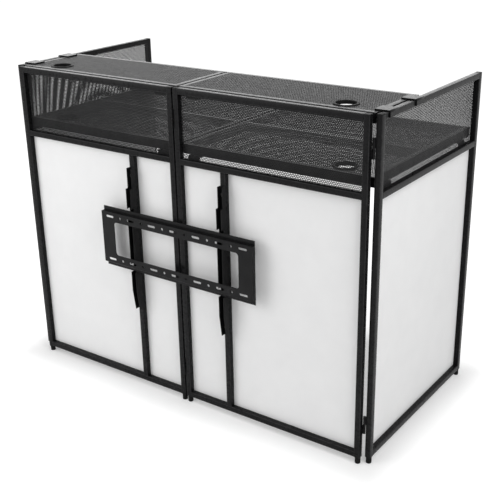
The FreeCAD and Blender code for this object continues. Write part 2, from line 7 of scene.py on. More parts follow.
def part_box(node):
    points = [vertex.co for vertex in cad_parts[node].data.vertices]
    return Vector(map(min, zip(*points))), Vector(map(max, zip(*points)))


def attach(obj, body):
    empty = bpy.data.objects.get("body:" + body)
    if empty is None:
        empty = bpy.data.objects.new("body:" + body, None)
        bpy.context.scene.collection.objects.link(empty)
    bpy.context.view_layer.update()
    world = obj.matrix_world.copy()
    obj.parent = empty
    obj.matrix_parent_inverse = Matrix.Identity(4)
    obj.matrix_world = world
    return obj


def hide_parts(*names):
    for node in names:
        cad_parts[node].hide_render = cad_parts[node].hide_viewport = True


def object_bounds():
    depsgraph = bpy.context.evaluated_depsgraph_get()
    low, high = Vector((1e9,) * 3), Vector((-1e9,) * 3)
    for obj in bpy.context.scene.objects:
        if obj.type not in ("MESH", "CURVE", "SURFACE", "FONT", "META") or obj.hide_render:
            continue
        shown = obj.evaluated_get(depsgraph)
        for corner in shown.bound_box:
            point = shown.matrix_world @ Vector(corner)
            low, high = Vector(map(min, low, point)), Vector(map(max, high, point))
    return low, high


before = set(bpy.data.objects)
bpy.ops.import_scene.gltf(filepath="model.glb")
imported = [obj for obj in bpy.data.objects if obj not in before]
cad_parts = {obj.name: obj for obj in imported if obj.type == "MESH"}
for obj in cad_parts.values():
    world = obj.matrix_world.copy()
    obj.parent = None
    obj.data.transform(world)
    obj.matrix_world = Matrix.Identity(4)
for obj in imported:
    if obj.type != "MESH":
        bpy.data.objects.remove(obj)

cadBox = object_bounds()
scene = bpy.context.scene
scene.view_settings.view_transform = "Standard"
sides = {"left": -1, "right": 1}      # which way along X each half of the booth lies
print("frame loaded:", len(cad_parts), "nodes")


def corners(node):
    # lowest and highest corner of a CAD node's box
    low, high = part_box(node)
    return np.array(low), np.array(high)


def newPiece(name, parts, body, material, node=None, sharp=32):
    # joins parts, each a pair of points and lists of faces, into one object that rides on a body;
    # edges that turn by more than the sharp angle, in degrees, stay crisp
    points = np.concatenate([p[0] for p in parts])
    loops, sizes, flags, shift = [], [], [], 0
    for part in parts:
        for faces, smooth in part[1]:
            loops.append((faces + shift).ravel())
            sizes.append(np.full(len(faces), faces.shape[1]))
            flags.append(np.broadcast_to(smooth, len(faces)))
        shift += len(part[0])
    loops, sizes, flags = np.concatenate(loops), np.concatenate(sizes), np.concatenate(flags)
    starts = np.concatenate([[0], np.cumsum(sizes)[:-1]])
    mesh = bpy.data.meshes.new(name)
    mesh.vertices.add(len(points))
    mesh.vertices.foreach_set("co", points.astype(np.float32).ravel())
    mesh.loops.add(len(loops))
    mesh.loops.foreach_set("vertex_index", loops.astype(np.int32))
    mesh.polygons.add(len(sizes))
    mesh.polygons.foreach_set("loop_start", starts.astype(np.int32))
    mesh.polygons.foreach_set("use_smooth", flags.astype(bool))
    # the rounded faces, where a coat paints its edge highlight
    rounded = mesh.attributes.new("rounded", "FLOAT", "FACE")
    rounded.data.foreach_set("value", flags.astype(np.float32))
    mesh.update(calc_edges=True)
    mesh.validate()
    if sharp:
        mesh.set_sharp_from_angle(angle=math.radians(sharp))
    piece = bpy.data.objects.new(name, mesh)
    scene.collection.objects.link(piece)
    mesh.materials.append(material)
    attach(piece, body)
    if node:
        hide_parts(node)
    return piece


def turnedOver(faces):
    # the same faces seen from their other side
    return [(f[:, ::-1], smooth) for f, smooth in faces]


def gridQuads(rows, cols):
    # one quad between every four neighbours of a grid of points
    index = np.arange(rows * cols).reshape(rows, cols)
    around = [index[:-1, :-1], index[:-1, 1:], index[1:, 1:], index[1:, :-1]]
    return np.stack(around, -1).reshape(-1, 4)


rounding = {"steps": 4, "leastBend": 1e-5, "ringCount": 40, "bow": 0.1}


def boxOutline(halfA, halfB, radius):
    # a rectangle with quarter-round corners; the inset moves every side in by the same amount
    steps = rounding["steps"]
    turn = np.linspace(0, math.pi / 2, steps + 1)
    turns = (turn[None, :] + np.arange(4)[:, None] * math.pi / 2).ravel()
    signA = np.repeat([1, -1, -1, 1], steps + 1)
    signB = np.repeat([1, 1, -1, -1], steps + 1)
    smooth = np.arange(4 * (steps + 1)) % (steps + 1) != steps      # flat between the corners

    def outline(inset):
        bend = max(radius - inset, rounding["leastBend"])
        across = signA * (halfA - inset - bend) + bend * np.cos(turns)
        up = signB * (halfB - inset - bend) + bend * np.sin(turns)
        return np.stack([across, up], 1)

    return outline, smooth


def ringOutline(radius, count=rounding["ringCount"], sideCount=0):
    # a circle, or with a side count a regular polygon with faintly bowed sides
    turns = np.arange(count) * 2 * math.pi / count
    shape = np.ones(count)
    if sideCount:
        part = 2 * math.pi / sideCount
        straight = math.cos(part / 2) / np.cos(turns % part - part / 2)
        shape = rounding["bow"] + (1 - rounding["bow"]) * straight

    def outline(inset):
        return (radius - inset) * shape[:, None] * np.stack([np.cos(turns), np.sin(turns)], 1)

    return outline, np.ones(count, bool)


def lofted(outlineSet, profile, origin, axis=2, closed=False, flip=False):
    # one ring of the outline for every (inset, height) of the profile, heights along an axis,
    # joined by quads; open ends get a flat lid, a closed profile joins its last ring to its first
    outline, smooth = outlineSet
    rings = np.stack([outline(inset) for inset, _ in profile])
    heights = np.array([height for _, height in profile])
    if flip:
        heights = -heights
    count, around = rings.shape[:2]
    points = np.empty((count, around, 3))
    points[..., (axis + 1) % 3] = rings[..., 0]
    points[..., (axis + 2) % 3] = rings[..., 1]
    points[..., axis] = heights[:, None]
    points = points.reshape(-1, 3) + np.asarray(origin)
    ring = np.arange(around)
    low = np.arange(count if closed else count - 1)[:, None] * around
    high = (low + around) % (count * around)
    after = (ring + 1) % around
    quads = np.stack([low + ring, low + after, high + after, high + ring], -1).reshape(-1, 4)
    faces = [(quads, np.tile(smooth, len(low)))]
    if not closed:
        faces += [(ring[None, ::-1], False), (ring[None, :] + (count - 1) * around, False)]
    return points, turnedOver(faces) if flip else faces


def addNode(tree, kind, sockets=None, **settings):
    # a shader node with its settings and socket values
    node = tree.nodes.new(kind)
    for key, value in settings.items():
        setattr(node, key, value)
    for key, value in (sockets or {}).items():
        node.inputs[key].default_value = value
    return node


noiseSpread = {"roughness": 0.55, "low": 0.3, "high": 0.7}


def noiseField(tree, vector, scale, detail, low, high):
    # soft noise at a scale per metre, its usual range spread between two values
    noise = addNode(tree, "ShaderNodeTexNoise", {
        "Scale": scale, "Detail": detail, "Roughness": noiseSpread["roughness"]})
    spread = addNode(tree, "ShaderNodeMapRange", {
        "From Min": noiseSpread["low"], "From Max": noiseSpread["high"], "To Min": low, "To Max": high})
    tree.links.new(vector, noise.inputs["Vector"])
    tree.links.new(noise.outputs["Fac"], spread.inputs["Value"])
    return spread.outputs["Result"]


def colourBetween(tree, share, dark, light):
    # straight blend from the dark to the light colour as the share goes from 0 to 1
    ramp = addNode(tree, "ShaderNodeValToRGB")
    ramp.color_ramp.elements[0].color = (*dark, 1)
    ramp.color_ramp.elements[1].color = (*light, 1)
    tree.links.new(share, ramp.inputs["Fac"])
    return ramp.outputs["Color"]


def bumpFrom(tree, height, depth, strength=1.0):
    # relief of a height from 0 to 1, its depth in metres
    bump = addNode(tree, "ShaderNodeBump", {"Strength": strength, "Distance": depth})
    tree.links.new(height, bump.inputs["Height"])
    return bump


def freshMaterial(name):
    # an empty material, its node tree and its shader
    material = bpy.data.materials.new(name)
    material.use_nodes = True
    tree = material.node_tree
    return material, tree, tree.nodes["Principled BSDF"]


coatLooks = {
    "powderCoat": {
        # the pale colour on the rounded edges is a painted highlight
        "dark": (0.005, 0.005, 0.0053), "light": (0.009, 0.009, 0.0095), "edgeHighlight": (0.030, 0.030, 0.031),
        "rough": (0.24, 0.34), "peel": 620, "depth": 0.00005, "specular": 0.10},
    "bracketCoat": {
        "dark": (0.004, 0.004, 0.0043), "light": (0.008, 0.008, 0.0084),
        "rough": (0.30, 0.40), "peel": 800, "depth": 0.00004, "specular": 0.12},
    "perforatedCoat": {
        "dark": (0.017, 0.017, 0.0175), "light": (0.024, 0.024, 0.0245),
        "rough": (0.38, 0.50), "peel": 700, "depth": 0.00004, "specular": 0.085},
    "mouldedPlastic": {
        "dark": (0.005, 0.005, 0.005), "light": (0.009, 0.009, 0.009),
        "rough": (0.46, 0.60), "peel": 1500, "depth": 0.00003, "specular": 0.1},
    "zincBlack": {
        "dark": (0.012, 0.012, 0.013), "light": (0.03, 0.03, 0.032),
        "rough": (0.26, 0.40), "peel": 2200, "depth": 0.00003, "specular": 0.5},
}
coatNoise = {"cloud": (23, 4), "gloss": (95, 3), "highlightPatches": (55, 4), "highlightShare": (0.15, 0.95), "peelDetail": 2}


def paintEdgeHighlight(tree, place, colour, edgeHighlight):
    # the rounded faces of a piece turn paler in patches: a highlight painted along the rounded edges
    rounded = addNode(tree, "ShaderNodeAttribute", attribute_name="rounded")
    patches = noiseField(tree, place, *coatNoise["highlightPatches"], *coatNoise["highlightShare"])
    highlighted = addNode(tree, "ShaderNodeMath", operation="MULTIPLY")
    tree.links.new(rounded.outputs["Fac"], highlighted.inputs[0])
    tree.links.new(patches, highlighted.inputs[1])
    mixed = addNode(tree, "ShaderNodeMix", {"B": (*edgeHighlight, 1)}, data_type="RGBA")
    tree.links.new(highlighted.outputs["Value"], mixed.inputs["Factor"])
    tree.links.new(colour, mixed.inputs["A"])
    return mixed.outputs["Result"]


def coatMaterial(name):
    # satin coat: cloudy dark colour, patchy gloss and the fine orange peel of baked powder
    look = coatLooks[name]
    material, tree, shader = freshMaterial(name)
    place = addNode(tree, "ShaderNodeTexCoord").outputs["Object"]
    cloud = noiseField(tree, place, *coatNoise["cloud"], 0, 1)
    colour = colourBetween(tree, cloud, look["dark"], look["light"])
    # a painted highlight on the rounded edges, where the coat has one
    if "edgeHighlight" in look:
        colour = paintEdgeHighlight(tree, place, colour, look["edgeHighlight"])
    gloss = noiseField(tree, place, *coatNoise["gloss"], *look["rough"])
    peel = noiseField(tree, place, look["peel"], coatNoise["peelDetail"], 0, 1)
    bump = bumpFrom(tree, peel, look["depth"])
    tree.links.new(colour, shader.inputs["Base Color"])
    tree.links.new(gloss, shader.inputs["Roughness"])
    tree.links.new(bump.outputs["Normal"], shader.inputs["Normal"])
    shader.inputs["Specular IOR Level"].default_value = look["specular"]
    return material


clothLook = {"dark": (0.86, 0.86, 0.862), "light": (0.90, 0.90, 0.90), "thread": 0.0007, "depth": 0.00012,
             "unevenness": 0.6, "bandsPerScale": 20, "cloud": (14, 3, 0.2, 0.8), "weaveShare": 0.2,
             "rough": (60, 2, 0.78, 0.92), "relief": 0.5, "specular": 0.2, "sheen": 0.15}


def clothMaterial():
    # white stretch knit: crossed threads from the cloth's own flat coordinates, faint cloudiness
    material, tree, shader = freshMaterial("scrimCloth")
    flat = addNode(tree, "ShaderNodeUVMap", uv_map="flat").outputs["UV"]
    scale = 2 * math.pi / (clothLook["bandsPerScale"] * clothLook["thread"])
    weave = addNode(tree, "ShaderNodeMath", operation="MULTIPLY")
    for socket, way in enumerate(("X", "Y")):
        wave = addNode(tree, "ShaderNodeTexWave", {
            "Scale": scale, "Distortion": clothLook["unevenness"], "Detail": 1.0}, bands_direction=way)
        tree.links.new(flat, wave.inputs["Vector"])
        tree.links.new(wave.outputs["Fac"], weave.inputs[socket])
    place = addNode(tree, "ShaderNodeTexCoord").outputs["Object"]
    cloud = noiseField(tree, place, *clothLook["cloud"])
    share = addNode(tree, "ShaderNodeMath", {1: clothLook["weaveShare"]}, operation="MULTIPLY_ADD")
    tree.links.new(weave.outputs["Value"], share.inputs[0])
    tree.links.new(cloud, share.inputs[2])
    colour = colourBetween(tree, share.outputs["Value"], clothLook["dark"], clothLook["light"])
    bump = bumpFrom(tree, weave.outputs["Value"], clothLook["depth"], clothLook["relief"])
    tree.links.new(colour, shader.inputs["Base Color"])
    tree.links.new(noiseField(tree, place, *clothLook["rough"]), shader.inputs["Roughness"])
    tree.links.new(bump.outputs["Normal"], shader.inputs["Normal"])
    shader.inputs["Specular IOR Level"].default_value = clothLook["specular"]
    shader.inputs["Sheen Weight"].default_value = clothLook["sheen"]
    return material


coats = {name: coatMaterial(name) for name in coatLooks}
clothFinish = clothMaterial()
print("materials made:", len(coats) + 1)


tube = {"side": 0.019, "corner": 0.002, "ease": 0.0003}


def tubePart(low, high, axis):
    # square tube between two corners, its outline carried along one axis with eased ends
    low, high = np.array(low), np.array(high)
    half = (high - low) / 2
    ease = tube["ease"]
    length = high[axis] - low[axis]
    profile = [(ease, 0), (0, ease), (0, length - ease), (ease, length)]
    origin = (low + high) / 2
    origin[axis] = low[axis]
    outline = boxOutline(half[(axis + 1) % 3], half[(axis + 2) % 3], tube["corner"])
    return lofted(outline, profile, origin, axis)


def tubePiece(name, parts, body, node):
    # tubes of one CAD node as one coated piece
    newPiece(name, parts, body, coats["powderCoat"], node)


def postTubes(name, body):
    # a tube at each end of the panel; gives back the corners of both
    low, high = corners(name + "_posts")
    axis = 0 if high[0] - low[0] > high[1] - low[1] else 1
    first, second = high.copy(), low.copy()
    first[axis] = low[axis] + tube["side"]
    second[axis] = high[axis] - tube["side"]
    tubePiece(name + "_post_tubes", [tubePart(low, first, 2), tubePart(second, high, 2)], body,
              name + "_posts")
    return [(low, first), (second, high)]


def railTubes(name, body):
    # bottom rail, the rail that the mesh stands on, and top rail
    low, high = corners(name + "_rails")
    axis = 0 if high[0] - low[0] > high[1] - low[1] else 1
    middle = corners(name + "_mesh")[0][2]
    parts = []
    for top in (low[2] + tube["side"], middle, high[2]):
        start, end = low.copy(), high.copy()
        start[2], end[2] = top - tube["side"], top
        parts.append(tubePart(start, end, axis))
    tubePiece(name + "_rail_tubes", parts, body, name + "_rails")


def deckTubes(name, body, braced):
    # front and back beams over the whole length, the two ends and any brace between them
    low, high = corners(name + "_frame")
    side = tube["side"]
    bars = [((low[0], low[1]), (high[0], low[1] + side), 0),
            ((low[0], high[1] - side), (high[0], high[1]), 0)]
    for start in (low[0], high[0] - side):
        bars.append(((start, low[1] + side), (start + side, high[1] - side), 1))
    if braced:
        middle = (low[1] + high[1]) / 2
        bars.append(((low[0] + side, middle - side / 2), (high[0] - side, middle + side / 2), 0))
    parts = [tubePart((*a, low[2]), (*b, high[2]), axis) for a, b, axis in bars]
    tubePiece(name + "_frame_tubes", parts, body, name + "_frame")


perforation = {"pitch": {"panel": 0.0057, "shelf": 0.0057, "table": 0.0067}, "holeShare": 0.64,
               "margin": 0.0004, "edge": 0.0013, "sheet": 0.0007, "firstCorner": -150}


def perforated(width, height, kind, cutout=None):
    # rows of holes, each row moved on by half a pitch; every hole sits in a six-sided cell whose
    # corners its neighbours share; pitch and row step are eased so that whole cells fill the sheet
    wanted = perforation["pitch"][kind]
    radius = perforation["holeShare"] * wanted / 2
    clearU, clearV = width - 2 * perforation["margin"], height - 2 * perforation["edge"]
    cols = round(clearU / wanted - 0.5)
    pitch = clearU / (cols + 0.5)
    rows = round(clearV / (pitch * math.sqrt(3) / 2))
    rowStep = clearV / rows
    startU = (width - (cols + 0.5) * pitch) / 2
    startV = (height - rows * rowStep) / 2
    lineU = np.concatenate([[0], startU + np.arange(2 * cols + 2) * pitch / 2, [width]])
    lineV = np.concatenate([[0], startV + np.arange(rows + 1) * rowStep, [height]])
    wide = len(lineU)
    u, v = np.meshgrid(lineU, lineV)
    step = np.arange(2 * cols + 2)[None, :] - (np.arange(rows + 1) % 2)[:, None]
    v[1:-1, 1:-1] += np.where(step % 2 == 0, 1, -1) * pitch / (4 * math.sqrt(3))
    row, col = np.arange(rows)[:, None], np.arange(cols)[None, :]
    shift = row % 2
    centreU, centreV = startU + (col + 0.5 + shift / 2) * pitch, startV + (row + 0.5) * rowStep
    centres = np.stack(np.broadcast_arrays(centreU, centreV), -1).reshape(-1, 1, 2)
    turns = math.radians(perforation["firstCorner"]) + np.arange(6) * math.pi / 3
    holes = centres + radius * np.stack([np.cos(turns), np.sin(turns)], 1)
    points = np.concatenate([np.stack([u, v], -1).reshape(-1, 2), holes.reshape(-1, 2)])
    base = (row + 1) * wide + 1 + 2 * col + shift       # lower left corner of each cell
    above = base + wide
    rim = np.stack([base, base + 1, base + 2, above + 2, above + 1, above], -1).reshape(-1, 6)
    bore = wide * len(lineV) + np.arange(len(rim) * 6).reshape(-1, 6)
    clear, solid = np.ones(len(rim), bool), np.zeros(len(rim), bool)
    if cutout is not None:
        # holes stay clear of the flange, and the cells under it are plain up to the cutout
        away = np.linalg.norm(centres[:, 0] - cutout["centre"], axis=1)
        clear = away > cutout["flange"] + radius
        solid = ~clear & (away > cutout["radius"])
    after = np.roll(np.arange(6), -1)
    outer, inner = rim[clear], bore[clear]
    cells = np.stack([outer, outer[:, after], inner[:, after], inner], -1).reshape(-1, 4)
    # plain strips: below and above all rows, at both sides, and the half cell at each row's end
    strip = np.concatenate([b + np.arange(wide - 1) for b in (0, (rows + 1) * wide)])
    line = (np.arange(rows) + 1) * wide
    half = line + np.where(np.arange(rows) % 2 == 1, 1, 2 * cols + 1)
    strip = np.concatenate([strip, line, line + wide - 2, half])
    plain = np.stack([strip, strip + 1, strip + wide + 1, strip + wide], -1)
    faces = [np.concatenate([cells, plain]), rim[solid]]
    if cutout is not None:
        # cells inside the cutout go, and the points left on its edge move out or in to its circle
        kept = np.concatenate([f.ravel() for f in faces])
        edge = np.intersect1d(rim[~clear & ~solid].ravel(), kept)
        ray = points[edge] - cutout["centre"]
        stretch = cutout["radius"] / np.linalg.norm(ray, axis=1)
        points[edge] = cutout["centre"] + ray * stretch[:, None]
    return points, [f for f in faces if len(f)]


def thickened(points, faces, low, high):
    # the sheet's two sides and the walls along every edge that only one face uses
    count = len(points)
    edges = np.concatenate([np.stack([f, np.roll(f, -1, axis=1)], -1).reshape(-1, 2) for f in faces])
    alone = ~np.isin(edges[:, 0] * count + edges[:, 1], edges[:, 1] * count + edges[:, 0])
    a, b = edges[alone].T
    walls = np.stack([a, a + count, b + count, b], -1)
    deep = np.concatenate([np.full(count, high), np.full(count, low)])
    solid = np.column_stack([np.tile(points, (2, 1)), deep])
    sets = [(f, False) for f in faces] + [(f[:, ::-1] + count, False) for f in faces] + [(walls, True)]
    used = np.zeros(2 * count, bool)
    for f, _ in sets:
        used[f.ravel()] = True
    renumber = np.cumsum(used) - 1
    return solid[used], [(renumber[f], smooth) for f, smooth in sets]


def perforatedPart(low, high, thin, along, kind, cutout=None):
    # a sheet between two corners, thin along one axis, its rows of holes along another
    other = 3 - thin - along
    opening = None
    if cutout is not None:
        opening = {**cutout, "centre": (cutout["centre"] - low)[[along, other]]}
    flat, faces = perforated(high[along] - low[along], high[other] - low[other], kind, opening)
    if (other - along) % 3 != 1:
        faces = [f[:, ::-1] for f in faces]
    points, sets = thickened(flat, faces, high[thin] - perforation["sheet"], high[thin])
    placed = np.empty_like(points)
    placed[:, along] = points[:, 0] + low[along]
    placed[:, other] = points[:, 1] + low[other]
    placed[:, thin] = points[:, 2]
    return placed, sets


def sheetPiece(name, part, body, node):
    # one perforated sheet with flat, unsoftened faces
    newPiece(name, [part], body, coats["perforatedCoat"], node, sharp=0)


def meshPanel(name, body):
    # the sheet in the upper part of a panel, thin along the panel's own thickness
    low, high = corners(name + "_mesh")
    thin = int(np.argmin(high - low))
    part = perforatedPart(low, high, thin, 1 - thin, "panel")
    sheetPiece(name + "_perforated_sheet", part, body, name + "_mesh")


grommet = {"inset": 0.124, "setback": 0.060, "bore": 0.030, "sleeve": 0.033, "flange": 0.039,
           "rise": 0.003, "length": 0.0085, "hole": 0.0333, "round": 0.0026, "roundSteps": 7, "count": 56,
           "sleeveEase": 0.0006, "seat": 0.0001,
           "lip": [(0.0004, 0), (0, 0.0005), (0.0002, 0.00165), (0.0012, 0.0027), (0.0026, 0.003)]}
plug = {"wall": 0.0014, "corner": 0.0016,
        "profile": [(0, 0.006), (0, 0.0005), (0.0005, 0), (0.003, 0), (0.0036, 0.0005)]}


def grommetPlace(name, way):
    # middle of the grommet, in from the deck's outer end and back from its front edge
    low, high = corners(name + "_frame")
    outer = high[0] if way > 0 else low[0]
    return np.array([outer - way * grommet["inset"], low[1] + grommet["setback"], 0])


def beamPlugs(name):
    # a dished plug in each open end of the front and back beams
    low, high = corners(name + "_frame")
    side = tube["side"]
    rim = boxOutline(side / 2 - plug["wall"], (high[2] - low[2]) / 2 - plug["wall"], plug["corner"])
    plugs = []
    for x, inward in ((low[0], 1), (high[0], -1)):
        for y in (low[1], high[1] - side):
            middle = (x, y + side / 2, (low[2] + high[2]) / 2)
            points, faces = lofted(rim, plug["profile"], middle, 0, flip=inward < 0)
            plugs.append((points, turnedOver(faces)))
    return plugs


def grommetPiece(name, way, body):
    # a closed section turned about the bore: rolled flange over a short sleeve
    centre = grommetPlace(name, way)
    centre[2] = corners(name + "_mesh")[1][2]
    out, bore, sleeve = grommet["flange"], grommet["bore"], grommet["sleeve"]
    length, ease, bend = grommet["length"], grommet["sleeveEase"], grommet["round"]
    section = [(bore, -length), (sleeve - ease, -length), (sleeve, ease - length), (sleeve, -grommet["seat"])]
    section += [(out - inset, height) for inset, height in grommet["lip"]]
    turns = np.linspace(0, math.pi / 2, grommet["roundSteps"])
    section += list(zip(bore + bend * (1 - np.sin(turns)), grommet["rise"] - bend * (1 - np.cos(turns))))
    outline = ringOutline(out, grommet["count"])
    ring = lofted(outline, [(out - r, z) for r, z in section], centre, 2, closed=True)
    newPiece(name + "_grommet_ring", [ring, *beamPlugs(name)], body,
             coats["mouldedPlastic"], name + "_grommet_and_plugs")


def deckSheets(name, way, body, braced):
    # one sheet, or one on each side of the brace; the front one has the grommet's cutout
    low, high = corners(name + "_mesh")
    cutout = {"centre": grommetPlace(name, way), "radius": grommet["hole"], "flange": grommet["flange"]}
    bays = [(low, high, cutout, "perforated_sheet")]
    if braced:
        middle = (low[1] + high[1]) / 2
        front, rear = high.copy(), low.copy()
        front[1], rear[1] = middle - tube["side"] / 2, middle + tube["side"] / 2
        bays = [(low, front, cutout, "front_perforated_sheet"), (rear, high, None, "rear_perforated_sheet")]
    kind = "table" if braced else "shelf"
    for start, end, hole, label in bays:
        part = perforatedPart(start, end, 2, 0, kind, hole)
        sheetPiece(f"{name}_{label}", part, body, name + "_mesh")


foot = {"radius": 0.009, "height": 0.022,
        "tread": [(0.0022, 0), (0.0008, 0.0004), (0.0002, 0.0011), (0, 0.002)],
        "groove": [(0, 0.0072), (0.0007, 0.0078), (0.0007, 0.0090), (0, 0.0096)],
        "collar": [(0, 0.0012), (0.0004, 0.0004), (0.0012, 0)]}      # heights below the foot's top
cap = {"corner": 0.0025,
       "profile": [(0, -0.002), (0, -0.0009), (0.0003, -0.0004), (0.0010, -0.0001), (0.0032, -0.00006),
                   (0.006, 0)]}


def footPiece(name, body, posts):
    # a turned rubber foot under each post: rounded tread, a groove and a collar
    profile = foot["tread"] + foot["groove"]
    profile += [(inset, foot["height"] - drop) for inset, drop in foot["collar"]]
    parts = []
    for low, high in posts:
        middle = (low + high) / 2
        parts.append(lofted(ringOutline(foot["radius"]), profile, (middle[0], middle[1], 0)))
    newPiece(name + "_round_feet", parts, body, coats["mouldedPlastic"], name + "_feet")


def capPiece(name, body, posts):
    # a square plastic lid with rounded shoulders and a slightly raised middle
    top = corners(name + "_post_caps")[1][2]
    parts = []
    for low, high in posts:
        middle, half = (low + high) / 2, (high - low) / 2
        outline = boxOutline(half[0], half[1], cap["corner"])
        parts.append(lofted(outline, cap["profile"], (middle[0], middle[1], top)))
    newPiece(name + "_cap_lids", parts, body, coats["mouldedPlastic"], name + "_post_caps")


scrim = {"step": 0.008, "bulge": 0.0012, "pucker": 0.0005, "puckerPitch": 0.085, "puckerReach": 0.05,
         "hold": 0.014, "holdEase": 0.06, "thickness": 0.0005}
hemBand = {"wide": 0.016, "thickness": 0.0007, "corner": 0.004, "round": 0.0008, "shoulder": 0.7}
stitch = {"pitch": 0.005, "inset": 0.0125, "long": 0.0036, "wide": 0.0010, "high": 0.0005}


def stitchPart(middle, sizes, along, heightWay):
    # short stitches on a rectangle inside the hem, each a four-sided bar with pointed ends
    long, wide, high = stitch["long"] / 2, stitch["wide"] / 2, stitch["high"]
    ring = np.array([[0, wide, 0], [0, 0, high], [0, -wide, 0], [0, 0, -high]])
    neck = np.array([long / 2, 0, 0])
    shape = np.concatenate([[[-long, 0, 0]], ring - neck, ring + neck, [[long, 0, 0]]])
    near, after = np.arange(4) + 1, np.roll(np.arange(4), -1) + 1
    far, farAfter = near + 4, after + 4
    tip, farTip = np.zeros(4, int), np.full(4, 9)
    quads = np.stack([near, after, farAfter, far], -1)
    tips = np.concatenate([np.stack([tip, after, near], -1), np.stack([farTip, far, farAfter], -1)])
    places = []
    for axis, other in ((along, 2), (2, along)):
        length = sizes[axis] - 2 * stitch["inset"]
        count = int(length / stitch["pitch"])
        steps = (np.arange(count) + 0.5) * length / count - length / 2
        lengthWay = np.eye(3)[axis]
        turn = np.stack([lengthWay, np.cross(heightWay, lengthWay), heightWay])
        for side in (-1, 1):
            spots = np.tile(middle, (count, 1))
            spots[:, axis] += steps
            spots[:, other] += side * (sizes[other] / 2 - stitch["inset"])
            places.append(spots[:, None] + shape @ turn)
    points = np.concatenate(places)
    shift = (np.arange(len(points)) * len(shape))[:, None, None]
    faces = [((part + shift).reshape(-1, part.shape[1]), True) for part in (quads, tips)]
    return points.reshape(-1, 3), faces


def flatMap(piece, places):
    # a map named flat that holds every point's flat place, in metres
    layer = piece.data.uv_layers.new(name="flat")
    loops = np.empty(len(piece.data.loops), np.int32)
    piece.data.loops.foreach_get("vertex_index", loops)
    layer.data.foreach_set("uv", places[loops].astype(np.float32).ravel())


def scrimLean(u, v, wide, tall):
    # a shallow bulge, a half sine both ways, and puckers, squared sines that fade from the edges;
    # both start softly inside the strip that the frame holds
    edge = np.minimum.reduce([u, v, wide - u, tall - v])
    ease = np.clip((edge - scrim["hold"]) / scrim["holdEase"], 0, 1)
    ease = ease * ease * (3 - 2 * ease)
    bulge = scrim["bulge"] * np.sin(math.pi * u / wide) * np.sin(math.pi * v / tall)
    wave, reach = 2 * math.pi / scrim["puckerPitch"], scrim["puckerReach"]
    pucker = (np.sin(wave * u) ** 2 * (np.exp(-v / reach) + np.exp((v - tall) / reach))
              + np.sin(wave * v) ** 2 * (np.exp(-u / reach) + np.exp((u - wide) / reach)))
    return ease * (bulge + scrim["pucker"] * pucker)


def hemPiece(name, body, middle, thin, along, wide, tall, inward):
    # a flat band round the cloth's edge, its section carried round a rectangle, with its stitches
    halves = [0, 0, 0]
    halves[along], halves[2] = wide / 2, tall / 2
    outline = boxOutline(halves[(thin + 1) % 3], halves[(thin + 2) % 3], hemBand["corner"])
    deep, band, ease = hemBand["thickness"] * inward, hemBand["wide"], hemBand["round"]
    shoulder = deep * hemBand["shoulder"]
    section = [(0, 0), (band, 0), (band, shoulder), (band - ease, deep), (ease, deep), (0, shoulder)]
    points, faces = lofted(outline, section, middle, thin, closed=True)
    if inward > 0:
        faces = turnedOver(faces)
    top = middle.copy()
    top[thin] += deep
    stitches = stitchPart(top, {along: wide, 2: tall}, along, inward * np.eye(3)[thin])
    hem = newPiece(name + "_scrim_hem", [(points, faces), stitches], body, clothFinish)
    flatMap(hem, np.concatenate([points, stitches[0]])[:, [along, 2]])
    return hem


def scrimPiece(name, body, inward):
    # a flat grid of points that leans inwards, thickened by a live modifier, and its hem
    low, high = corners(name + "_scrim")
    thin = int(np.argmin(high - low))
    along = 1 - thin
    wide, tall = high[along] - low[along], high[2] - low[2]
    u, v = np.meshgrid(np.linspace(0, wide, int(wide / scrim["step"])),
                       np.linspace(0, tall, int(tall / scrim["step"])))
    face = low[thin] if inward > 0 else high[thin]
    grid = np.empty((*u.shape, 3))
    grid[..., along], grid[..., 2] = low[along] + u, low[2] + v
    grid[..., thin] = face + inward * (scrimLean(u, v, wide, tall) + scrim["thickness"] / 2)
    quads = gridQuads(*u.shape)
    outwardWay = np.cross(np.eye(3)[along], np.eye(3)[2])[thin]
    if outwardWay * inward > 0:
        quads = quads[:, ::-1]
    piece = newPiece(name + "_scrim_cloth", [(grid.reshape(-1, 3), [(quads, True)])], body,
                     clothFinish, name + "_scrim", sharp=0)
    flatMap(piece, np.stack([u.ravel(), v.ravel()], 1))
    wall = piece.modifiers.new("thickness", "SOLIDIFY")
    wall.thickness = scrim["thickness"]
    wall.offset = 0
    middle = (low + high) / 2
    middle[thin] = face + inward * scrim["thickness"]
    hem = hemPiece(name, body, middle, thin, along, wide, tall, inward)


bolt = {"washer": 0.0075, "washerRise": 0.0011, "washerCount": 32, "head": 0.0052, "socket": 0.0027,
        "count": 36, "fromEnd": 0.0275, "web": 0.0018,
        "washerProfile": [(0.0004, 0), (0, 0.0002), (0, 0.0009), (0.0004, 0.0011), (0.004, 0.0011)],
        "dome": [(0, 0), (0, 0.0006), (0.0006, 0.0017), (0.0014, 0.0027), (0.0021, 0.0031),
                 (0.0023, 0.0031)],
        "well": [(0, 0.0031), (0, 0.0013), (0.0018, 0.0009)]}      # dome and well above the washer


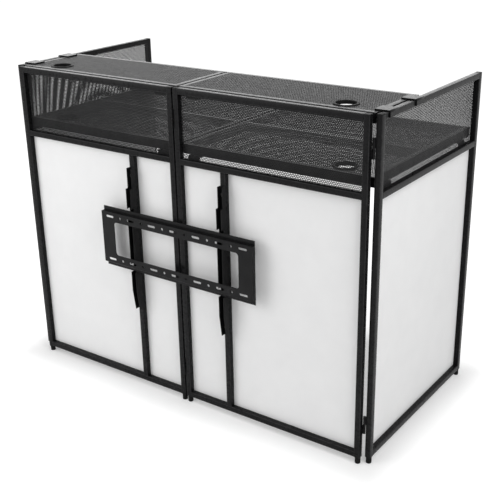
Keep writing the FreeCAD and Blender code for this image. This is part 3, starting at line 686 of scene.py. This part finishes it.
def boltParts(spot, axis, way):
    # a button head with a six-sided socket on a washer, each a profile turned about the bolt's axis;
    # the head's last ring is joined to the socket's first
    flip = way < 0
    count = bolt["count"]
    dome, well = ([(inset, bolt["washerRise"] + height) for inset, height in bolt[key]]
                  for key in ("dome", "well"))
    disc = ringOutline(bolt["washer"], bolt["washerCount"])
    washer = lofted(disc, bolt["washerProfile"], spot, axis, flip=flip)
    headPoints, headFaces = lofted(ringOutline(bolt["head"], count), dome, spot, axis, flip=flip)
    wellPoints, wellFaces = lofted(ringOutline(bolt["socket"], count, 6), well, spot, axis, flip=flip)
    inner = len(headPoints) + np.arange(count)
    outer = inner - count
    bridge = np.stack([outer, np.roll(outer, -1), np.roll(inner, -1), inner], -1)
    if flip:
        bridge = bridge[:, ::-1]
    faces = headFaces[:2] + [(bridge, False)]
    faces += [(f + len(headPoints), smooth) for f, smooth in (wellFaces[0], wellFaces[2])]
    return [washer, (np.concatenate([headPoints, wellPoints]), faces)]


def armBolts(side):
    # one bolt near each end of the arm's web
    low, high = corners(side + "_screen_arm")
    middle = (low[0] + high[0]) / 2
    parts = []
    for z in (low[2] + bolt["fromEnd"], high[2] - bolt["fromEnd"]):
        parts += boltParts((middle, high[1] - bolt["web"], z), 1, -1)
    newPiece(side + "_arm_bolts", parts, side + "_front", coats["zincBlack"])


edgeEase = {"weld": 0.00002, "flat": 0.5, "angle": 35, "steps": 2}
stayFinish = {"screen_arm": ("bracketCoat", 0.0006), "screen_plate": ("bracketCoat", 0.0009),
              "hooks": ("powderCoat", 0.0007), "ledge": ("powderCoat", 0.0006),
              "hinge": ("powderCoat", 0.0003)}      # coat and width of the eased edge


def dressNode(name):
    # a CAD solid keeps its mesh; its edges are eased by live modifiers
    finish, ease = next(value for key, value in stayFinish.items() if key in name)
    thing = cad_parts[name]
    thing.data.materials.clear()
    thing.data.materials.append(coats[finish])
    weld = thing.modifiers.new("joined corners", "WELD")
    weld.merge_threshold = edgeEase["weld"]
    flat = thing.modifiers.new("whole faces", "DECIMATE")
    flat.decimate_type = "DISSOLVE"
    flat.angle_limit = math.radians(edgeEase["flat"])
    bevel = thing.modifiers.new("eased edges", "BEVEL")
    bevel.width = ease
    bevel.segments = edgeEase["steps"]
    bevel.limit_method = "ANGLE"
    bevel.angle_limit = math.radians(edgeEase["angle"])
    bevel.use_clamp_overlap = True


for side, way in sides.items():
    for label, inward in (("front", 1), ("wing", -way)):
        name = f"{side}_{label}"
        posts = postTubes(name, name)
        railTubes(name, name)
        footPiece(name, name, posts)
        capPiece(name, name, posts)
        meshPanel(name, name)
        scrimPiece(name, name, inward)
    upright = tubePart(*corners(side + "_front_upright"), 2)
    tubePiece(side + "_front_upright_tube", [upright], side + "_front", side + "_front_upright")
    for deck in ("shelf", "table"):
        name = f"{side}_{deck}"
        deckTubes(name, name, deck == "table")
        deckSheets(name, way, name, deck == "table")
        grommetPiece(name, way, name)
    armBolts(side)
    print(side, "side built")

for name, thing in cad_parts.items():
    if not thing.hide_render:
        dressNode(name)
print("pieces dressed")


studio = {"floorSize": 40.0, "floorPoints": 9, "floorTone": 0.85, "floorRough": 0.9,
          "nearGlow": 0.18, "farGlow": 0.60, "glowReach": 0.18, "worldFill": 0.55}
softboxes = {
    "keyLight": {"place": (-1.1, -1.9, 1.45), "aim": (0.0, -0.3, 0.5),
                 "wide": 1.6, "tall": 1.6, "radiance": 2.2},
    "fillLight": {"place": (2.2, -0.8, 2.2), "aim": (0.7, 0.0, 0.6),
                  "wide": 1.4, "tall": 1.4, "radiance": 4.0},
    "backLight": {"place": (-2.2, 3.0, 2.0), "aim": (0.0, 0.0, 1.0),
                  "wide": 4.8, "tall": 1.5, "radiance": 1.4},
}


def raysThatSee(tree):
    # one for camera, mirror and through-glass rays, none for the rays that carry light
    path = addNode(tree, "ShaderNodeLightPath")
    seen = path.outputs["Is Camera Ray"]
    for kind in ("Is Glossy Ray", "Is Transmission Ray"):
        either = addNode(tree, "ShaderNodeMath", operation="MAXIMUM")
        tree.links.new(seen, either.inputs[0])
        tree.links.new(path.outputs[kind], either.inputs[1])
        seen = either.outputs["Value"]
    return seen


def glowBeyondBooth(tree):
    # distance outside the booth's footprint, eased from the near to the far strength, so that the
    # shadow beside the booth stays and the floor further off is white
    spot = addNode(tree, "ShaderNodeTexCoord").outputs["Object"]
    footprint = (cadBox[1][0], cadBox[1][1], 0)
    for operation, other in (("ABSOLUTE", None), ("SUBTRACT", footprint), ("MAXIMUM", (0, 0, 0))):
        step = addNode(tree, "ShaderNodeVectorMath", operation=operation)
        tree.links.new(spot, step.inputs[0])
        if other:
            step.inputs[1].default_value = other
        spot = step.outputs["Vector"]
    distance = addNode(tree, "ShaderNodeVectorMath", operation="LENGTH")
    tree.links.new(spot, distance.inputs[0])
    # the weaker glow close to the booth leaves the floor round it darker, a painted shade on top of its cast
    # shadow
    level = addNode(tree, "ShaderNodeMapRange", {
        "From Max": studio["glowReach"], "To Min": studio["nearGlow"], "To Max": studio["farGlow"]},
        interpolation_type="SMOOTHSTEP")
    tree.links.new(distance.outputs["Value"], level.inputs["Value"])
    return level.outputs["Result"]


def floorPiece():
    # a flat grid under the booth, pale, matt and glowing a little for the rays that see it
    line = np.linspace(-studio["floorSize"] / 2, studio["floorSize"] / 2, studio["floorPoints"])
    u, v = np.meshgrid(line, line)
    points = np.stack([u, v, np.zeros_like(u)], -1).reshape(-1, 3)
    mesh = bpy.data.meshes.new("studio_floor")
    mesh.from_pydata(points.tolist(), [], gridQuads(*u.shape).tolist())
    floor = bpy.data.objects.new("studio_floor", mesh)
    scene.collection.objects.link(floor)
    material, tree, shader = freshMaterial("studioFloor")
    tone = studio["floorTone"]
    shader.inputs["Base Color"].default_value = (tone, tone, tone, 1)
    shader.inputs["Roughness"].default_value = studio["floorRough"]
    shader.inputs["Specular IOR Level"].default_value = 0.0
    shader.inputs["Emission Color"].default_value = (1, 1, 1, 1)
    glow = addNode(tree, "ShaderNodeMath", operation="MULTIPLY")
    tree.links.new(raysThatSee(tree), glow.inputs[0])
    tree.links.new(glowBeyondBooth(tree), glow.inputs[1])
    tree.links.new(glow.outputs["Value"], shader.inputs["Emission Strength"])
    mesh.materials.append(material)


def worldLight():
    # white all round for the rays that see it, dimmer as a light on the booth
    world = bpy.data.worlds.new("studioWorld")
    scene.world = world
    world.use_nodes = True
    tree = world.node_tree
    sky = tree.nodes["Background"]
    sky.inputs["Color"].default_value = (1, 1, 1, 1)
    level = addNode(tree, "ShaderNodeMapRange", {"To Min": studio["worldFill"], "To Max": 1.0})
    tree.links.new(raysThatSee(tree), level.inputs["Value"])
    tree.links.new(level.outputs["Result"], sky.inputs["Strength"])


def softboxLamp(name):
    # a flat lamp that faces its aim; its power is its radiance times its area times pi
    box = softboxes[name]
    lamp = bpy.data.lights.new(name, "AREA")
    lamp.shape = "RECTANGLE"
    lamp.size, lamp.size_y = box["wide"], box["tall"]
    lamp.energy = box["radiance"] * box["wide"] * box["tall"] * math.pi
    holder = bpy.data.objects.new(name, lamp)
    scene.collection.objects.link(holder)
    holder.location = box["place"]
    ahead = Vector(box["aim"]) - Vector(box["place"])
    holder.rotation_euler = ahead.to_track_quat("-Z", "Y").to_euler()
    holder.visible_camera = False


shot = {"place": (1.8077, -2.45715, 1.6741), "yaw": 0.6228, "pitch": -0.3809, "roll": 0.0184,
        "lens": 65.97, "sensor": 36.0, "near": 0.05, "far": 100}


def photoCamera():
    # yaw about Z, then pitch about X, then roll about Y; the view goes along the turned Y axis
    turn = (Matrix.Rotation(shot["yaw"], 3, "Z") @ Matrix.Rotation(shot["pitch"], 3, "X")
            @ Matrix.Rotation(shot["roll"], 3, "Y"))
    right, ahead, up = (turn.col[i] for i in range(3))
    camera = bpy.data.cameras.new("photoCamera")
    camera.lens, camera.sensor_width = shot["lens"], shot["sensor"]
    camera.clip_start, camera.clip_end = shot["near"], shot["far"]
    holder = bpy.data.objects.new("photoCamera", camera)
    scene.collection.objects.link(holder)
    basis = Matrix((right, up, -ahead)).transposed().to_4x4()
    basis.translation = shot["place"]
    holder.matrix_world = basis
    scene.camera = holder


floorPiece()
worldLight()
for name in softboxes:
    softboxLamp(name)
photoCamera()
print("studio ready")
